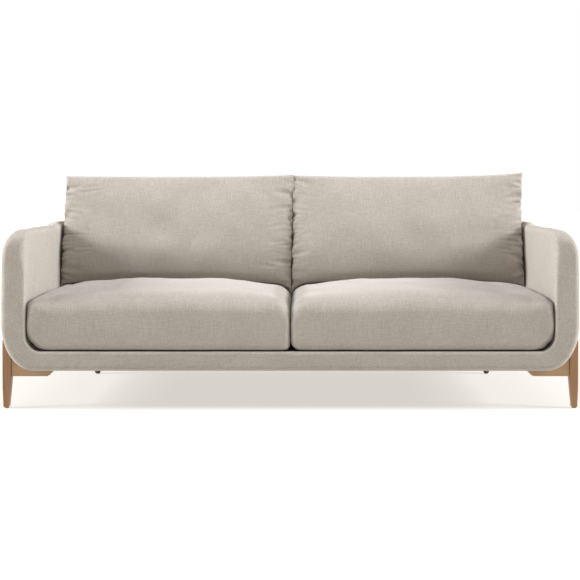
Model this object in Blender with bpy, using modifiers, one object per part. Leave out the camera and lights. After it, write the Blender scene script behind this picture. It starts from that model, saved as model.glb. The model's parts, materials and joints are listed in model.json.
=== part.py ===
"""Sofa with two seat cushions, two back cushions and wooden front legs, at full size in metres.

+Z is up, the sofa faces -Y, and the origin is on the floor under the centre of its bounding box.
A padded shell (front border, arm covers, back cover) is pulled over a plywood and timber frame.
Its section is the same round both arms and the back, so one list of stations drives the shell,
the plywood formers inside it, the seat deck, the dust cover and the tops of the front legs.
"""

import math
from collections import namedtuple

import bmesh
import bpy
from mathutils import Vector

# Driving dimensions.
WIDTH = 2.20
DEPTH = 0.95
ARM_TOP = 0.683
BACK_RISE = 0.009  # how far the back's top stands above the arms
UNDERSIDE = 0.147
DECK = 0.222  # top of the seat platform
ARM_THICK = 0.095
CUSHION_TOP = 0.890

HALF = WIDTH / 2
FRONT = -DEPTH / 2
REAR = DEPTH / 2
INNER = HALF - ARM_THICK

# The shell's section, beside the arm (x, z) and at the rear (y, z).
LOWER_X, LOWER_Z = 0.125, 0.180
LOWER_REAR_Y, LOWER_REAR_Z = 0.030, 0.040
REAR_LOW_Y = REAR - 0.025  # rear face above its bottom corner, which then leans out to REAR
UPPER_X, UPPER_Z = 0.068, 0.127
UPPER_REAR_Y = 0.065
UPPER_POWER = 2.1
SIDE_TUCK = 0.002
TOP_EDGE = 0.025  # round between the top and the inner face
BACK_FACE_TOP_Y = REAR - UPPER_REAR_Y - TOP_EDGE
BACK_FACE_LOW_Y = 0.335
INNER_CORNER = 0.060
INNER_CORNER_REAR = 0.030
DECK_LIP = 0.010
OUTER_PLAN_RADIUS, TOP_PLAN_RADIUS, INNER_PLAN_RADIUS = 0.100, 0.050, 0.040
SHOULDER_START, SHOULDER_END = 0.08, 0.235  # y where the arm's top rises to the back's
SPLIT_Y = 0.240  # arm covers end and the back cover begins

COVER = 0.010  # fabric with its foam
GAP = 0.0006  # between pieces that touch
BORDER = 0.030
PLY = 0.018

# Front legs, as right-hand ones; the left ones are mirrored.
LEG_TOP = 0.262
LEG_WIDE, LEG_NARROW = 0.034, 0.021
LEG_DEEP, LEG_SHALLOW = 0.044, 0.030
LEG_Y = FRONT + 0.059
LEG_OUTER_TUCK = 0.003
BRACKET_LOW = 0.123
BRACKET_DEEP = 0.032
BRACKET_END = 0.908
BOLT_X = (0.926, 0.958)
GLIDE = 0.0035

REAR_LEG_X, REAR_LEG_Y = 0.880, 0.395

CORNER_STEPS = 5  # round each rear corner in plan

Station = namedtuple("Station", "x y radius z_side z_rear rise")


def clear_scene():
    for old in list(bpy.data.objects):
        bpy.data.objects.remove(old)


def new_collection(name):
    made = bpy.data.collections.new(name)
    bpy.context.scene.collection.children.link(made)
    return made


def make_material(name, colour, roughness, metallic=0.0):
    made = bpy.data.materials.new(name)
    made.use_nodes = True
    shader = made.node_tree.nodes["Principled BSDF"]
    shader.inputs["Base Color"].default_value = (*colour, 1.0)
    shader.inputs["Roughness"].default_value = roughness
    shader.inputs["Metallic"].default_value = metallic
    return made


clear_scene()
PARTS = new_collection("sofa")
CUTTERS = new_collection("cutters")
FABRIC = make_material("beige_weave", (0.56, 0.50, 0.43), 0.95)
OAK = make_material("oak", (0.64, 0.42, 0.24), 0.45)
PLYWOOD = make_material("birch_plywood", (0.70, 0.55, 0.36), 0.7)
PINE = make_material("pine", (0.72, 0.55, 0.33), 0.7)
STEEL = make_material("zinc_plated_steel", (0.62, 0.63, 0.65), 0.35, 1.0)
WEBBING = make_material("elastic_webbing", (0.14, 0.14, 0.15), 0.9)
FOAM = make_material("foam", (0.86, 0.84, 0.72), 0.95)
FILLING = make_material("fibre_filling", (0.90, 0.90, 0.88), 1.0)
LINING = make_material("black_lining", (0.03, 0.03, 0.03), 0.95)
BLACK_WOOD = make_material("black_stained_wood", (0.02, 0.02, 0.02), 0.5)
GLIDE_PLASTIC = make_material("glide_plastic", (0.25, 0.22, 0.20), 0.6)
ZIP = make_material("zip_tape", (0.50, 0.45, 0.38), 0.8)


def add_mesh(name, mesh, material, collection=PARTS):
    made = bpy.data.objects.new(name, mesh)
    collection.objects.link(made)
    if material:
        mesh.materials.clear()
        mesh.materials.append(material)
    return made


def mesh_from(bm, name):
    bmesh.ops.recalc_face_normals(bm, faces=bm.faces)
    mesh = bpy.data.meshes.new(name)
    bm.to_mesh(mesh)
    bm.free()
    return mesh


def smooth(mesh, angle=40):
    mesh.shade_smooth()
    mesh.set_sharp_from_angle(angle=math.radians(angle))


def add_bevel(obj, width, segments=2):
    bevel = obj.modifiers.new("edges", "BEVEL")
    bevel.width = width
    bevel.segments = segments
    bevel.limit_method = "ANGLE"
    bevel.angle_limit = math.radians(40)


def box(name, low, high, material, bevel=0.0, collection=PARTS):
    """A block between two corners, with its edges rounded if bevel is given."""
    bm = bmesh.new()
    bmesh.ops.create_cube(bm, size=1.0)
    size = Vector(high) - Vector(low)
    bmesh.ops.scale(bm, vec=size, verts=bm.verts)
    made = add_mesh(name, mesh_from(bm, name), material, collection)
    made.location = (Vector(high) + Vector(low)) / 2
    if bevel:
        add_bevel(made, bevel)
    return made


def cylinder(name, radius, low, high, x, y, material, segments=20, top_radius=None, collection=PARTS):
    bm = bmesh.new()
    bmesh.ops.create_cone(
        bm,
        cap_ends=True,
        segments=segments,
        radius1=radius,
        radius2=radius if top_radius is None else top_radius,
        depth=high - low,
    )
    made = add_mesh(name, mesh_from(bm, name), material, collection)
    made.location = (x, y, (low + high) / 2)
    smooth(made.data)
    return made


def hide(cutter):
    cutter.hide_render = True
    cutter.display_type = "WIRE"
    return cutter


def add_boolean(obj, other, operation="DIFFERENCE"):
    cut = obj.modifiers.new(operation.lower(), "BOOLEAN")
    cut.operation = operation
    cut.object = other
    hide(other)


def plate(name, outline, y_low, y_high, material, collection=PARTS):
    """A flat (x, z) outline, extruded from y_low to y_high and made a mesh."""
    curve = bpy.data.curves.new(name, "CURVE")
    curve.dimensions = "2D"
    curve.fill_mode = "BOTH"
    curve.extrude = (y_high - y_low) / 2
    spline = curve.splines.new("POLY")
    spline.points.add(len(outline) - 1)
    for point, (x, z) in zip(spline.points, outline):
        point.co = (x, z, 0.0, 1.0)
    spline.use_cyclic_u = True
    flat = bpy.data.objects.new(name + "_outline", curve)
    CUTTERS.objects.link(flat)
    flat.rotation_euler.x = math.radians(90)
    flat.location.y = (y_low + y_high) / 2
    bpy.context.view_layer.update()
    graph = bpy.context.evaluated_depsgraph_get()
    mesh = bpy.data.meshes.new_from_object(flat.evaluated_get(graph))
    mesh.transform(flat.matrix_world)
    bpy.data.objects.remove(flat)
    bm = bmesh.new()
    bm.from_mesh(mesh)
    bmesh.ops.remove_doubles(bm, verts=bm.verts, dist=1e-5)
    bmesh.ops.dissolve_limit(bm, angle_limit=math.radians(0.5), verts=bm.verts, edges=bm.edges)
    bpy.data.meshes.remove(mesh)
    return add_mesh(name, mesh_from(bm, name), material, collection)


def slab(name, outline, z_low, z_high, material):
    """A flat (x, y) outline, extruded from z_low to z_high."""
    curve = bpy.data.curves.new(name, "CURVE")
    curve.dimensions = "2D"
    curve.fill_mode = "BOTH"
    curve.extrude = (z_high - z_low) / 2
    spline = curve.splines.new("POLY")
    spline.points.add(len(outline) - 1)
    for point, (x, y) in zip(spline.points, outline):
        point.co = (x, y, 0.0, 1.0)
    spline.use_cyclic_u = True
    flat = bpy.data.objects.new(name + "_outline", curve)
    CUTTERS.objects.link(flat)
    flat.location.z = (z_low + z_high) / 2
    bpy.context.view_layer.update()
    graph = bpy.context.evaluated_depsgraph_get()
    mesh = bpy.data.meshes.new_from_object(flat.evaluated_get(graph))
    mesh.transform(flat.matrix_world)
    bpy.data.objects.remove(flat)
    bm = bmesh.new()
    bm.from_mesh(mesh)
    bmesh.ops.remove_doubles(bm, verts=bm.verts, dist=1e-5)
    bpy.data.meshes.remove(mesh)
    return add_mesh(name, mesh_from(bm, name), material)


def mix(a, b, t):
    return a + (b - a) * t


def smoothstep(t):
    t = min(max(t, 0.0), 1.0)
    return t * t * (3 - 2 * t)


# The shell.


def lower_stations(steps=6):
    """Round the bottom corner, from the underside to the side."""
    for i in range(steps + 1):
        turn = math.radians(90) * i / steps
        yield Station(
            HALF - LOWER_X * (1 - math.sin(turn)),
            REAR_LOW_Y - LOWER_REAR_Y * (1 - math.sin(turn)),
            OUTER_PLAN_RADIUS,
            UNDERSIDE + LOWER_Z * (1 - math.cos(turn)),
            UNDERSIDE + LOWER_REAR_Z * (1 - math.cos(turn)),
            0.0,
        )


def side_stations(steps=3):
    """Up the outer side, which leans out a little at the rear."""
    shoulder = ARM_TOP - UPPER_Z
    for i in range(1, steps + 1):
        share = i / steps
        yield Station(
            HALF - SIDE_TUCK * share**2,
            mix(REAR_LOW_Y, REAR, share),
            OUTER_PLAN_RADIUS,
            mix(UNDERSIDE + LOWER_Z, shoulder, share),
            mix(UNDERSIDE + LOWER_REAR_Z, shoulder, share),
            0.0,
        )


def upper_stations(steps=6):
    """Over the outer top edge, a superellipse."""
    for i in range(1, steps + 1):
        turn = math.radians(90) * i / steps
        across = max(math.cos(turn), 0.0) ** (2 / UPPER_POWER)
        up = math.sin(turn) ** (2 / UPPER_POWER)
        height = ARM_TOP - UPPER_Z * (1 - up)
        yield Station(
            HALF - SIDE_TUCK - UPPER_X * (1 - across),
            REAR - UPPER_REAR_Y * (1 - across),
            mix(OUTER_PLAN_RADIUS, TOP_PLAN_RADIUS, 1 - across),
            height,
            height,
            up,
        )


def inner_stations(edge_steps=3, face_steps=3, corner_steps=4):
    """Round the inner top edge, down the inner face and round its foot on to the deck."""
    for i in range(1, edge_steps + 1):
        turn = math.radians(90) * i / edge_steps
        height = ARM_TOP - TOP_EDGE * (1 - math.cos(turn))
        yield Station(
            INNER + TOP_EDGE * (1 - math.sin(turn)),
            BACK_FACE_TOP_Y + TOP_EDGE * (1 - math.sin(turn)),
            mix(TOP_PLAN_RADIUS, INNER_PLAN_RADIUS, i / edge_steps),
            height,
            height,
            1.0,
        )
    for i in range(1, face_steps + 1):
        share = i / face_steps
        yield Station(
            INNER,
            mix(BACK_FACE_TOP_Y, BACK_FACE_LOW_Y, share),
            INNER_PLAN_RADIUS,
            mix(ARM_TOP - TOP_EDGE, DECK + INNER_CORNER, share),
            mix(ARM_TOP - TOP_EDGE, DECK + INNER_CORNER_REAR, share),
            1.0 - share,
        )
    for i in range(1, corner_steps + 1):
        turn = math.radians(90) * i / corner_steps
        yield Station(
            INNER - INNER_CORNER * (1 - math.cos(turn)),
            BACK_FACE_LOW_Y - INNER_CORNER_REAR * (1 - math.cos(turn)),
            INNER_PLAN_RADIUS,
            DECK + INNER_CORNER * (1 - math.sin(turn)),
            DECK + INNER_CORNER_REAR * (1 - math.sin(turn)),
            0.0,
        )


def wall_stations():
    stations = [*lower_stations(), *side_stations(), *upper_stations(), *inner_stations()]
    last = stations[-1]
    stations.append(last._replace(x=last.x - DECK_LIP, y=last.y - DECK_LIP))
    return stations


def wall_point(station, along):
    """A point on the wall's surface. along is a y from the front up to the corner, or (turn, x) round it."""
    if isinstance(along, tuple):
        turn, x_side = along
        centre_x, centre_y = station.x - station.radius, station.y - station.radius
        x = centre_x + station.radius * math.cos(turn)
        y = centre_y + station.radius * math.sin(turn)
        share = smoothstep(turn / math.radians(90))
        return (x_side * x, y, mix(station.z_side, station.z_rear, share) + BACK_RISE * station.rise)
    rise = smoothstep((along - SHOULDER_START) / (SHOULDER_END - SHOULDER_START))
    return (station.x, along, station.z_side + BACK_RISE * station.rise * rise)


def loft(name, rows, material):
    """A surface through rows of points, given the cover's thickness towards the inside."""
    mesh = bpy.data.meshes.new(name)
    points = [point for row in rows for point in row]
    wide = len(rows[0])
    faces = [
        (r * wide + c, r * wide + c + 1, (r + 1) * wide + c + 1, (r + 1) * wide + c)
        for r in range(len(rows) - 1)
        for c in range(wide - 1)
    ]
    mesh.from_pydata(points, [], faces)
    made = add_mesh(name, mesh, material)
    thickness = made.modifiers.new("foam", "SOLIDIFY")
    thickness.thickness = COVER
    thickness.offset = 1.0
    thickness.use_even_offset = True
    smooth(mesh)
    return made


def make_arm_cover(name, side):
    sections = [FRONT + BORDER + GAP, SHOULDER_START]
    rise_steps = 4
    sections += [
        mix(SHOULDER_START, SPLIT_Y - GAP, i / rise_steps) for i in range(1, rise_steps + 1)
    ]
    rows = []
    for y in sections:
        row = [wall_point(station, y) for station in wall_stations()]
        rows.append([(side * x, y_, z) for x, y_, z in row])
    if side < 0:
        rows.reverse()
    return loft(name, rows, FABRIC)


def make_back_cover():
    stations = wall_stations()
    turns = [math.radians(90) * i / CORNER_STEPS for i in range(CORNER_STEPS + 1)]
    rows = [[wall_point(station, SPLIT_Y) for station in stations]]
    rows += [[wall_point(station, (turn, 1)) for station in stations] for turn in turns]
    rows += [[wall_point(station, (turn, -1)) for station in stations] for turn in reversed(turns)]
    rows.append([(-x, y, z) for x, y, z in rows[0]])
    return loft("back_cover", rows, FABRIC)


def section_outline():
    """The shell's closed U section seen from the front, as (x, z) points."""
    right = [(station.x, station.z_side) for station in wall_stations()]
    return right + [(-x, z) for x, z in reversed(right)]


def inset(outline, distance):
    """The outline moved inwards by a distance, point by point along the mitre. Points run anticlockwise."""
    moved = []
    for i, point in enumerate(outline):
        here = Vector(point)
        before = (here - Vector(outline[i - 1])).normalized()
        after = (Vector(outline[(i + 1) % len(outline)]) - here).normalized()
        normal_before = Vector((-before.y, before.x))
        normal_after = Vector((-after.y, after.x))
        mitre = (normal_before + normal_after).normalized()
        moved.append(tuple(here + mitre * (distance / max(mitre.dot(normal_after), 0.3))))
    return moved


def make_front_border():
    """The padded U panel over the front of both arms and the seat rail, its front edge rounded."""
    border = plate("front_border", section_outline(), FRONT, FRONT + BORDER, FABRIC)
    bm = bmesh.new()
    bm.from_mesh(border.data)
    rim = [e for e in bm.edges if all(abs(v.co.y - FRONT) < 1e-5 for v in e.verts)]
    rim = [e for e in rim if any(abs(f.normal.y) < 0.5 for f in e.link_faces)]
    bmesh.ops.bevel(bm, geom=rim, offset=0.009, segments=2, profile=0.5, affect="EDGES")
    bm.to_mesh(border.data)
    bm.free()
    smooth(border.data)


def rounded_path(x, y, radius, y_start, corner_steps=CORNER_STEPS):
    """Half-open plan outline: up the right side, round both rear corners and down the left side."""
    right = [(x, y_start)]
    for i in range(corner_steps + 1):
        turn = math.radians(90) * i / corner_steps
        right.append((x - radius + radius * math.cos(turn), y - radius + radius * math.sin(turn)))
    return right + [(-px, py) for px, py in reversed(right)]


def make_deck_and_dust_cover():
    stations = wall_stations()
    last, first = stations[-1], stations[0]
    start = FRONT + BORDER + GAP
    deck = rounded_path(last.x - GAP, last.y - GAP, last.radius, start)
    slab("seat_deck", deck, DECK - 0.005, DECK, FABRIC)
    under = rounded_path(first.x - GAP, first.y - GAP, first.radius, start)
    dust = slab("dust_cover", under, UNDERSIDE + 0.0005, UNDERSIDE + 0.002, LINING)
    for side in (-1, 1):
        for x in BOLT_X:
            hole = cylinder("bolt_way", 0.004, UNDERSIDE - 0.01, UNDERSIDE + 0.01, side * x, LEG_Y, None,
                            12, collection=CUTTERS)
            add_boolean(dust, hole)
        way = cylinder("stud_way", 0.005, UNDERSIDE - 0.01, UNDERSIDE + 0.01, side * REAR_LEG_X, REAR_LEG_Y,
                       None, 12, collection=CUTTERS)
        add_boolean(dust, way)


# The frame inside the shell.

FRAME_INSET = COVER + 0.0015
RAIL_LOW, RAIL_TOP = UNDERSIDE + 0.012, 0.200
FORMER_Y = FRONT + BORDER + GAP
FRONT_RAIL = (FORMER_Y + PLY + GAP, FORMER_Y + PLY + GAP + 0.035)
REAR_FORMER_Y = 0.215
REAR_RAIL = (REAR_FORMER_Y - GAP - 0.035, REAR_FORMER_Y - GAP)
TAIL_RAIL = (0.370, 0.412)
RAIL_X = 0.925


def make_formers():
    outline = inset(section_outline(), FRAME_INSET)
    plate("front_former", outline, FORMER_Y, FORMER_Y + PLY, PLYWOOD)
    plate("rear_former", outline, REAR_FORMER_Y, REAR_FORMER_Y + PLY, PLYWOOD)


def make_base_rails():
    front = box("front_rail", (-RAIL_X, FRONT_RAIL[0], RAIL_LOW), (RAIL_X, FRONT_RAIL[1], RAIL_TOP), PINE)
    front.data.transform(front.matrix_world)
    box("rear_rail", (-RAIL_X, REAR_RAIL[0], RAIL_LOW), (RAIL_X, REAR_RAIL[1], RAIL_TOP), PINE)
    tail = box("tail_rail", (-0.915, TAIL_RAIL[0], RAIL_LOW), (0.915, TAIL_RAIL[1], RAIL_TOP), PINE)
    for label, x in (("left", -0.905), ("right", 0.905)):
        box(f"side_rail_{label}", (x - 0.018, FRONT_RAIL[1] + GAP, RAIL_LOW),
            (x + 0.018, REAR_RAIL[0] - GAP, RAIL_TOP - 0.005), PINE)
    box("centre_stretcher", (-0.022, FRONT_RAIL[1] + GAP, RAIL_LOW),
        (0.022, REAR_RAIL[0] - GAP, RAIL_TOP - 0.008), PINE)
    for label, x in (("left", -0.885), ("right", 0.885)):
        box(f"tail_block_{label}", (x - 0.025, REAR_FORMER_Y + PLY + GAP, RAIL_LOW),
            (x + 0.025, TAIL_RAIL[0] - GAP, RAIL_TOP), PINE)
    return front, tail


def make_arm_frames():
    start, end = FORMER_Y + PLY + GAP, REAR_FORMER_Y - GAP
    for label, side in (("left", -1), ("right", 1)):
        x_low, x_high = sorted((side * (INNER + COVER + 0.002), side * (INNER + COVER + 0.006)))
        box(f"arm_board_{label}", (x_low, start, 0.310), (x_high, end, 0.640), PLYWOOD)


POST_LOW = (0.3945, RAIL_TOP + GAP)
POST_TOP = (0.4280, 0.6300)
POST_LEAN = math.atan2(POST_TOP[0] - POST_LOW[0], POST_TOP[1] - POST_LOW[1])
POST_DEEP = 0.034


def lean(y, z, back=0.0):
    """A point that leans with the back posts: z up from their foot, and back behind their middle."""
    rise = z - POST_LOW[1]
    return POST_LOW[0] + rise * math.tan(POST_LEAN) + back + y


def make_back_frame():
    """Three posts whose feet and heads are cut level, a rail on top of them and webbing in front."""
    for label, x in (("left", -0.88), ("centre", 0.0), ("right", 0.88)):
        post = box(f"back_post_{label}", (x - 0.022, -POST_DEEP / 2, POST_LOW[1]),
                   (x + 0.022, POST_DEEP / 2, POST_TOP[1]), PINE)
        post.data.transform(post.matrix_basis)
        post.location = (0, 0, 0)
        for vertex in post.data.vertices:
            vertex.co.y += lean(0.0, vertex.co.z)
    box("back_rail", (-0.95, POST_TOP[0] - 0.020, POST_TOP[1] + GAP),
        (0.95, POST_TOP[0] + 0.006, POST_TOP[1] + 0.022), PINE)
    for number in range(3):
        z = 0.290 + 0.125 * number
        strap = box(f"back_webbing_{number + 1}", (-0.965, -0.001, z - 0.025), (0.965, 0.001, z + 0.025), WEBBING)
        strap.data.transform(strap.matrix_basis)
        strap.location = (0, 0, 0)
        for vertex in strap.data.vertices:
            vertex.co.y += lean(-POST_DEEP / 2 - 0.0025, vertex.co.z)


SPRING_WIRE = 0.0018
SPRING_X = (-0.76, -0.47, -0.18, 0.18, 0.47, 0.76)
SPRING_ENDS = (FRONT_RAIL[0] + 0.014, REAR_RAIL[1] - 0.014)
SPRING_CROWN = 0.006


def make_springs():
    """Zigzag wires over the seat, from the front rail to the rear rail, each slightly crowned."""
    loops, wide = 13, 0.026
    for number, x in enumerate(SPRING_X):
        curve = bpy.data.curves.new(f"seat_spring_{number + 1}", "CURVE")
        curve.dimensions = "3D"
        curve.bevel_depth = SPRING_WIRE
        curve.bevel_resolution = 1
        curve.use_fill_caps = True
        points = []
        for i in range(loops + 1):
            side = wide if i % 2 else -wide
            y = mix(*SPRING_ENDS, i / loops)
            if 0 < i < loops:
                points += [(x + side, y - 0.011), (x + side, y + 0.011)]
            else:
                points += [(x - side, y), (x + side, y)]
        spline = curve.splines.new("POLY")
        spline.points.add(len(points) - 1)
        for point, (px, py) in zip(spline.points, points):
            share = (py - SPRING_ENDS[0]) / (SPRING_ENDS[1] - SPRING_ENDS[0])
            z = RAIL_TOP + GAP + SPRING_WIRE + SPRING_CROWN * math.sin(math.pi * min(max(share, 0), 1))
            point.co = (px, py, z, 1.0)
        made = bpy.data.objects.new(curve.name, curve)
        curve.materials.append(STEEL)
        PARTS.objects.link(made)


# Legs.


def shell_corner(turn, clearance):
    """A point a clearance outside the shell's bottom corner, at a turn up from the underside."""
    return (
        HALF - LOWER_X + (LOWER_X + clearance) * math.sin(turn),
        UNDERSIDE + LOWER_Z - (LOWER_Z + clearance) * math.cos(turn),
    )


LEG_CLEAR = 0.0015
LEG_INNER_X = HALF - LEG_WIDE


def turn_at_x(x):
    return math.asin((x - HALF + LOWER_X) / (LOWER_X + LEG_CLEAR))


def turn_at_z(z):
    return math.acos((UNDERSIDE + LOWER_Z - z) / (LOWER_Z + LEG_CLEAR))


def corner_run(turn_start, turn_end, steps):
    return [shell_corner(mix(turn_start, turn_end, i / steps), LEG_CLEAR) for i in range(steps + 1)]


def mirrored(obj, name, side):
    """The object itself on the right, or its mesh turned over on the left."""
    if side < 0:
        bm = bmesh.new()
        bm.from_mesh(obj.data)
        for vertex in bm.verts:
            vertex.co.x *= -1
        bmesh.ops.reverse_faces(bm, faces=bm.faces)
        bm.to_mesh(obj.data)
        bm.free()
    obj.name = name
    return obj


def make_leg_post(label, side):
    """A tapered post whose top is scribed to the shell's round corner."""
    foot = GLIDE + GAP
    outline = [(HALF - LEG_OUTER_TUCK - LEG_NARROW, foot), (HALF - LEG_OUTER_TUCK, foot), (HALF, 0.080)]
    outline += [(HALF, LEG_TOP)]
    outline += corner_run(turn_at_z(LEG_TOP), turn_at_x(LEG_INNER_X), 5)
    outline += [(LEG_INNER_X, BRACKET_LOW)]
    post = plate("leg", outline, LEG_Y - LEG_DEEP / 2, LEG_Y + LEG_DEEP / 2, OAK)
    for vertex in post.data.vertices:
        share = (LEG_TOP - vertex.co.z) / (LEG_TOP - foot)
        vertex.co.y = LEG_Y + (vertex.co.y - LEG_Y) * mix(1.0, LEG_SHALLOW / LEG_DEEP, share)
    mirrored(post, f"front_leg_{label}", side)
    add_bevel(post, 0.003)
    low, high = sorted((side * (LEG_INNER_X - 0.01), side * (LEG_INNER_X + TENON + 0.0005)))
    mortise = box("mortise", (low, LEG_Y - 0.0065, 0.1345), (high, LEG_Y + 0.0065, 0.1805), None,
                  collection=CUTTERS)
    add_boolean(post, mortise)


TENON = 0.020


def make_bracket(label, side):
    """The rail that ties a front leg to the frame. Its top is scribed to the shell, and it ends in a chamfer."""
    start_x = LEG_INNER_X - GAP
    under = UNDERSIDE - LEG_CLEAR
    outline = [(BRACKET_END, under), (BRACKET_END + 0.004, BRACKET_LOW + 0.012),
               (BRACKET_END + 0.020, BRACKET_LOW), (start_x, BRACKET_LOW)]
    outline += corner_run(turn_at_x(start_x), 0.0, 7)
    bracket = plate("bracket", outline, LEG_Y - BRACKET_DEEP / 2, LEG_Y + BRACKET_DEEP / 2, OAK)
    mirrored(bracket, f"leg_bracket_{label}", side)
    add_bevel(bracket, 0.002)
    low, high = sorted((side * (start_x - 0.005), side * (start_x + TENON)))
    tenon = box("tenon", (low, LEG_Y - 0.006, 0.135), (high, LEG_Y + 0.006, 0.180), None, collection=CUTTERS)
    add_boolean(bracket, tenon, "UNION")
    for x in BOLT_X:
        way = cylinder("bolt_way", 0.0036, BRACKET_LOW - 0.01, UNDERSIDE + 0.01, side * x, LEG_Y, None, 16,
                       collection=CUTTERS)
        head = cylinder("bolt_seat", 0.0072, BRACKET_LOW - 0.01, BRACKET_LOW + 0.008, side * x, LEG_Y, None,
                        20, collection=CUTTERS)
        add_boolean(bracket, way)
        add_boolean(bracket, head)


def make_bolts(front_rail):
    """Countersunk machine bolts, up through each bracket into the front rail."""
    for label, side in (("left", -1), ("right", 1)):
        for place, x in zip(("inner", "outer"), BOLT_X):
            name = f"bracket_bolt_{place}_{label}"
            bolt = cylinder(name, 0.003, BRACKET_LOW + 0.010, 0.190, side * x, LEG_Y, STEEL, 12)
            head = cylinder("bolt_head", 0.0065, BRACKET_LOW + 0.002, BRACKET_LOW + 0.0076, side * x, LEG_Y,
                            None, 16, collection=CUTTERS)
            neck = cylinder("bolt_neck", 0.003, BRACKET_LOW + 0.004, BRACKET_LOW + 0.014, side * x, LEG_Y,
                            None, 12, collection=CUTTERS)
            hexagon = cylinder("hex_socket", 0.0028, BRACKET_LOW - 0.002, BRACKET_LOW + 0.0045, side * x,
                               LEG_Y, None, 6, collection=CUTTERS)
            add_boolean(bolt, neck, "UNION")
            add_boolean(bolt, head, "UNION")
            add_boolean(bolt, hexagon)
            pilot = cylinder("pilot", 0.0036, RAIL_LOW - 0.01, 0.192, side * x, LEG_Y, None, 16,
                             collection=CUTTERS)
            add_boolean(front_rail, pilot)


def make_rear_leg(label, side, tail_rail):
    """A turned black leg under the tail rail, held by a steel stud."""
    x, y = side * REAR_LEG_X, REAR_LEG_Y
    top = UNDERSIDE - GAP
    leg = cylinder(f"rear_leg_{label}", 0.0125, GLIDE + GAP, top, x, y, BLACK_WOOD, 24, top_radius=0.020)
    add_bevel(leg, 0.002, 1)
    bore = cylinder("stud_bore", 0.0044, top - 0.035, top + 0.01, x, y, None, 16, collection=CUTTERS)
    add_boolean(leg, bore)
    cylinder(f"rear_leg_stud_{label}", 0.004, top - 0.034, 0.190, x, y, STEEL, 12)
    pilot = cylinder("pilot", 0.0044, RAIL_LOW - 0.01, 0.192, x, y, None, 16, collection=CUTTERS)
    add_boolean(tail_rail, pilot)
    cylinder(f"rear_glide_{label}", 0.010, 0.0, GLIDE, x, y, GLIDE_PLASTIC, 20)


def make_legs(front_rail, tail_rail):
    for label, side in (("left", -1), ("right", 1)):
        make_leg_post(label, side)
        make_bracket(label, side)
        middle = HALF - LEG_OUTER_TUCK - LEG_NARROW / 2
        cylinder(f"front_glide_{label}", 0.0085, 0.0, GLIDE, side * middle, LEG_Y, GLIDE_PLASTIC, 20)
        make_rear_leg(label, side, tail_rail)
    make_bolts(front_rail)


# Cushions. Each has a sewn cover with a zip at its back, and a filling inside.

SEAT_IN, SEAT_OUT = 0.003, INNER - 0.003
SEAT_FRONT, SEAT_BACK = FRONT + 0.008, 0.325
SEAT_LOW, SEAT_EDGE_TOP, SEAT_CROWN = DECK + 0.003, 0.412, 0.050
CLOTH = 0.002
ZIP_HALF = 0.30


def cage(cuts, size):
    """A block split into cells, whose vertices are then moved by their place in it, from 0 to 1 each way."""
    bm = bmesh.new()
    bmesh.ops.create_cube(bm, size=1.0)
    for axis, number in enumerate(cuts):
        edges = [e for e in bm.edges if abs(e.verts[0].co[axis] - e.verts[1].co[axis]) > 1e-6]
        bmesh.ops.subdivide_edges(bm, edges=edges, cuts=number - 1, use_grid_fill=True)
    for vertex in bm.verts:
        place = vertex.co + Vector((0.5, 0.5, 0.5))
        vertex.co = size(place)
    return bm


def spread(t, ends):
    """Moves a row's inner loops towards its two ends, so that the corners stay tight."""
    return 0.5 + 0.5 * math.copysign(abs(2 * t - 1) ** ends, t - 0.5) if t != 0.5 else 0.5


def seat_point(place):
    """The right-hand seat cushion: crowned, lower under the back cushion, its lower outer edge rounded."""
    u, v, w = (spread(place.x, 0.55), spread(place.y, 0.55), spread(place.z, 0.8))
    x, y = mix(SEAT_IN, SEAT_OUT, u), mix(SEAT_FRONT, SEAT_BACK, v)
    crown = SEAT_CROWN * (1 - (2 * u - 1) ** 4) * (1 - smoothstep((v - 0.45) / 0.3))
    z = mix(SEAT_LOW, SEAT_EDGE_TOP + crown * w, w)
    if u > 0.97:
        x -= 0.040 * (1 - w) ** 2
        z += 0.020 * (1 - w) ** 2
    return Vector((x, y, z))


def turn_over(bm):
    """Makes the left-hand form out of the right-hand one."""
    for vertex in bm.verts:
        vertex.co.x *= -1
    bmesh.ops.reverse_faces(bm, faces=bm.faces)


def filling(name, bm, material, inset, side):
    """The same form as the cover's, drawn in by an inset on every side."""
    low = [min(v.co[axis] for v in bm.verts) for axis in range(3)]
    high = [max(v.co[axis] for v in bm.verts) for axis in range(3)]
    for vertex in bm.verts:
        for axis in range(3):
            middle, half = (high[axis] + low[axis]) / 2, (high[axis] - low[axis]) / 2
            vertex.co[axis] = middle + (vertex.co[axis] - middle) * (1 - inset / half)
    if side < 0:
        turn_over(bm)
    made = add_mesh(name, mesh_from(bm, name), material)
    smooth(made.data, 180)
    rounding = made.modifiers.new("soft", "SUBSURF")
    rounding.levels = rounding.render_levels = 1


def cushion_cover(name, bm, zip_low, zip_high, side):
    """Cloth of even thickness over the cage's smooth form, with a slot for the zip."""
    if side < 0:
        turn_over(bm)
    cover = add_mesh(name, mesh_from(bm, name), FABRIC)
    smooth(cover.data, 180)
    rounding = cover.modifiers.new("soft", "SUBSURF")
    rounding.levels = rounding.render_levels = 1
    cloth = cover.modifiers.new("cloth", "SOLIDIFY")
    cloth.thickness = CLOTH
    cloth.offset = -1.0
    slot = box("zip_slot", zip_low, zip_high, None, collection=CUTTERS)
    add_boolean(cover, slot)
    return cover


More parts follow.
